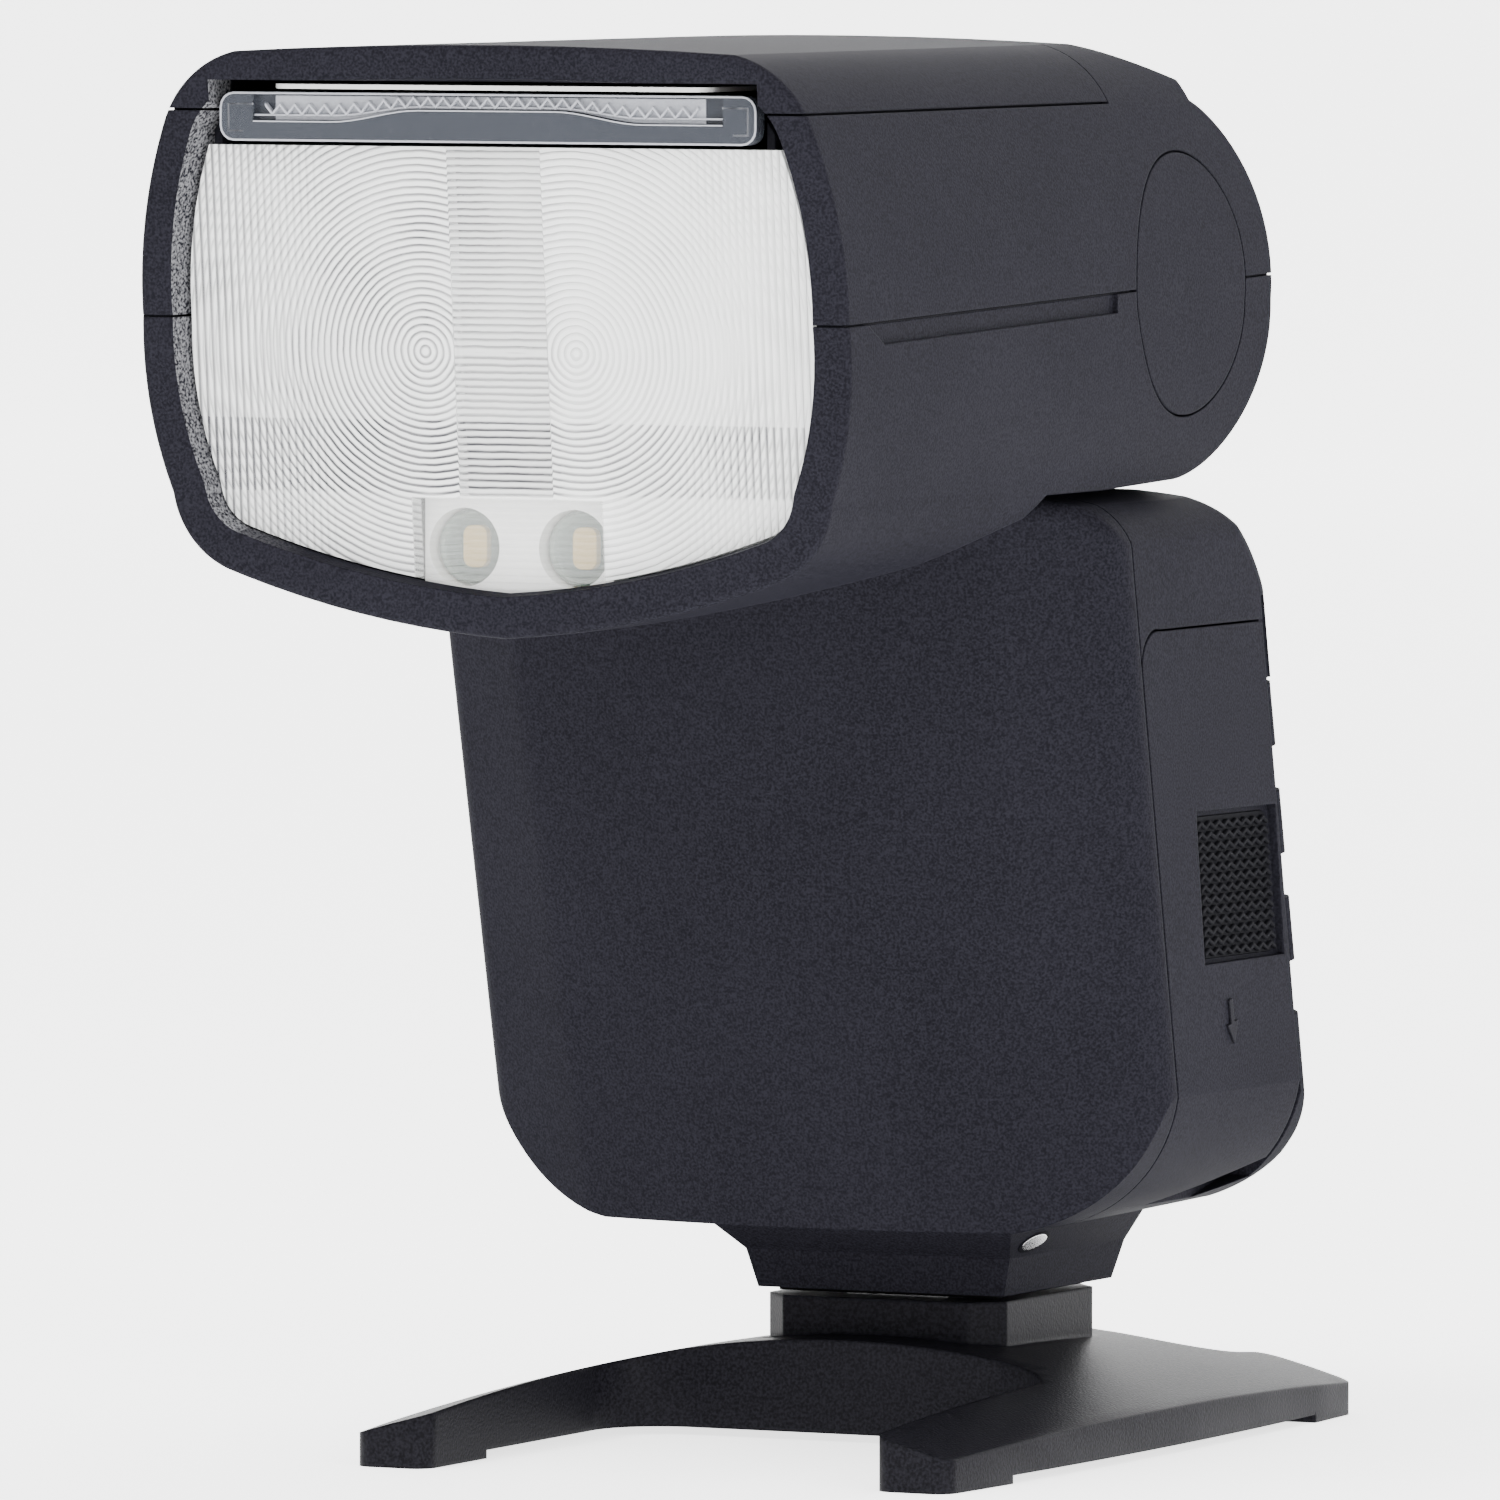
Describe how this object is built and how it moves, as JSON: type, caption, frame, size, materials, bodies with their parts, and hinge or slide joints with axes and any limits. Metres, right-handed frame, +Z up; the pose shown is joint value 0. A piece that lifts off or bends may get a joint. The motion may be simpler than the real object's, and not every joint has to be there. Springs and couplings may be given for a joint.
{
  "type": "shoe-mount speedlight flash with mini stand",
  "caption": "Shoe-mount flash with a tilting, swivelling zoom head, pull-out wide panel and bounce card, battery door and screen, on a flat notched stand.",
  "frame": {"origin": "mouth of the stand's tripod socket, on its axis, in the plane the stand rests on", "axes": "+Z up; -Y the way the lamp faces; +X to the battery door's side"},
  "size_m": [0.0824, 0.1408, 0.152],
  "materials": {
    "shell_plastic": "fine matt grain",
    "control_plastic": "satin with printed symbols",
    "stand_plastic": "coarse matt grain",
    "liner_plastic": "matt",
    "pad_rubber": "moulded chevrons, matt",
    "seal_rubber": "matt",
    "clear_lens": "clear, grooved",
    "frosted_panel": "frosted, ribbed",
    "card_plastic": "white satin",
    "diode_white": "white satin",
    "diode_lens": "clear dome",
    "diode_yellow": "phosphor",
    "screen_glass": "gloss",
    "tube_glass": "clear",
    "steel": "machined",
    "bright_steel": "polished",
    "contact_brass": "gold plated",
    "mirror_aluminium": "bright anodised",
    "can_aluminium": "sleeved can",
    "board_green": "solder mask",
    "battery_grey": "satin"
  },
  "bodies": {
    "stand": {"stand_base": "stand_plastic", "stand_tripod_bush": "contact_brass"},
    "flash_body": {"body_front_cover": "shell_plastic", "body_rear_cover": "shell_plastic", "screen_bezel": "control_plastic", "screen_window": "screen_glass", "screen_module": "board_green", "battery_tray": "liner_plastic", "battery_pack": "battery_grey", "battery_contacts": "contact_brass", "flash_capacitor": "can_aluminium", "main_board": "board_green", "power_board": "board_green", "foot_block": "shell_plastic", "hot_shoe_foot": "bright_steel", "shoe_contacts": "contact_brass", "foot_screws": "steel", "foot_seal": "seal_rubber"},
    "neck": {"neck_yoke": "shell_plastic", "swivel_retainer": "steel", "tilt_axle": "steel", "axle_nuts": "steel", "tilt_detent_disc": "steel"},
    "head": {"head_upper_shell": "shell_plastic", "head_lower_shell": "shell_plastic", "head_top_panel": "shell_plastic", "fresnel_lens": "clear_lens", "panel_slot_liner": "liner_plastic", "diode_housing": "diode_white", "diode_lenses": "diode_lens", "diode_emitters": "diode_yellow", "diode_board": "board_green", "zoom_guide_rods": "steel", "zoom_motor": "bright_steel", "head_board": "board_green", "side_plate_right": "steel", "side_plate_left": "steel", "pivot_cover_right": "shell_plastic", "pivot_cover_left": "shell_plastic"},
    "lamp_carriage": {"zoom_carriage": "liner_plastic", "flash_reflector": "mirror_aluminium", "flash_tube": "tube_glass", "tube_electrodes": "steel"},
    "zoom_screw_body": {"zoom_screw": "steel"},
    "card": {"bounce_card": "card_plastic"},
    "panel": {"wide_panel": "frosted_panel"},
    "bounce_lock": {"bounce_lock_button": "control_plastic"},
    "door_slider": {"door_hinge_pin": "steel"},
    "door": {"battery_door": "shell_plastic", "door_grip_pad": "pad_rubber"},
    "test_key": {"test_button": "control_plastic"},
    "wireless_key": {"wireless_button": "control_plastic"},
    "mode_key": {"mode_button": "control_plastic"},
    "menu_key": {"menu_button": "control_plastic"},
    "dial": {"select_dial": "control_plastic"},
    "set_key": {"set_button": "control_plastic"},
    "power_switch": {"power_lever": "control_plastic"},
    "shoe_lock_lever": {"lock_lever": "control_plastic"},
    "shoe_lock_pin": {"lock_pin": "steel"}
  },
  "joints": [
    {"name": "stand_slide", "type": "slide", "parent": "stand", "child": "flash_body", "axis": [0, 1, 0], "range_m": [0, 0.022]},
    {"name": "head_swivel", "type": "hinge", "parent": "flash_body", "child": "neck", "pos_m": [0, -0.0244, 0.1036], "axis": [0, 0, 1], "range_deg": [-180, 180]},
    {"name": "head_tilt", "type": "hinge", "parent": "neck", "child": "head", "pos_m": [0, -0.0184, 0.1256], "axis": [-1, 0, 0], "range_deg": [0, 120]},
    {"name": "zoom_slide", "type": "slide", "parent": "head", "child": "lamp_carriage", "axis": [0, -1, 0], "range_m": [0, 0.018]},
    {"name": "screw_turn", "type": "hinge", "parent": "head", "child": "zoom_screw_body", "pos_m": [0.033, -0.07, 0.1126], "axis": [0, 1, 0], "range_deg": [0, 1625]},
    {"name": "card_slide", "type": "slide", "parent": "head", "child": "card", "axis": [0, -1, 0], "range_m": [0, 0.045]},
    {"name": "panel_slide", "type": "slide", "parent": "head", "child": "panel", "axis": [0, -1, 0], "range_m": [0, 0.042]},
    {"name": "lock_press", "type": "slide", "parent": "head", "child": "bounce_lock", "axis": [1, 0, 0], "range_m": [0, 0.0015], "stiffness_N_per_m": 700, "springref_m": -0.001},
    {"name": "door_slide", "type": "slide", "parent": "flash_body", "child": "door_slider", "axis": [0, 0.2079, -0.9781], "range_m": [0, 0.0035]},
    {"name": "door_hinge", "type": "hinge", "parent": "door_slider", "child": "door", "pos_m": [0.0391, 0.0062, 0.05377], "axis": [0, -0.2079, 0.9781], "range_deg": [0, 80]},
    {"name": "test_press", "type": "slide", "parent": "flash_body", "child": "test_key", "axis": [0, -0.9781, -0.2079], "range_m": [0, 0.0006], "stiffness_N_per_m": 700, "springref_m": -0.0006},
    {"name": "wireless_press", "type": "slide", "parent": "flash_body", "child": "wireless_key", "axis": [0, -0.9781, -0.2079], "range_m": [0, 0.0006], "stiffness_N_per_m": 700, "springref_m": -0.0006},
    {"name": "mode_press", "type": "slide", "parent": "flash_body", "child": "mode_key", "axis": [0, -0.9781, -0.2079], "range_m": [0, 0.0006], "stiffness_N_per_m": 700, "springref_m": -0.0006},
    {"name": "menu_press", "type": "slide", "parent": "flash_body", "child": "menu_key", "axis": [0, -0.9781, -0.2079], "range_m": [0, 0.0006], "stiffness_N_per_m": 700, "springref_m": -0.0006},
    {"name": "set_press", "type": "slide", "parent": "flash_body", "child": "set_key", "axis": [0, -0.9781, -0.2079], "range_m": [0, 0.0006], "stiffness_N_per_m": 700, "springref_m": -0.0006},
    {"name": "dial_turn", "type": "hinge", "parent": "flash_body", "child": "dial", "pos_m": [0.006, 0.01022, 0.04543], "axis": [0, 0.9781, 0.2079], "continuous": true},
    {"name": "power_turn", "type": "hinge", "parent": "flash_body", "child": "power_switch", "pos_m": [-0.024, 0.01022, 0.04543], "axis": [0, 0.9781, 0.2079], "range_deg": [0, 40]},
    {"name": "lever_swing", "type": "hinge", "parent": "flash_body", "child": "shoe_lock_lever", "pos_m": [0, 0.009, 0.0185], "axis": [0, 0, 1], "range_deg": [0, 35]},
    {"name": "pin_lift", "type": "slide", "parent": "flash_body", "child": "shoe_lock_pin", "axis": [0, 0, 1], "range_m": [0, 0.0014]}
  ],
  "couplings": [
    {"joint": "screw_turn", "follows": "zoom_slide", "rad_per_m": 1570.8},
    {"joint": "pin_lift", "follows": "lever_swing", "m_per_rad": 0.00229}
  ]
}
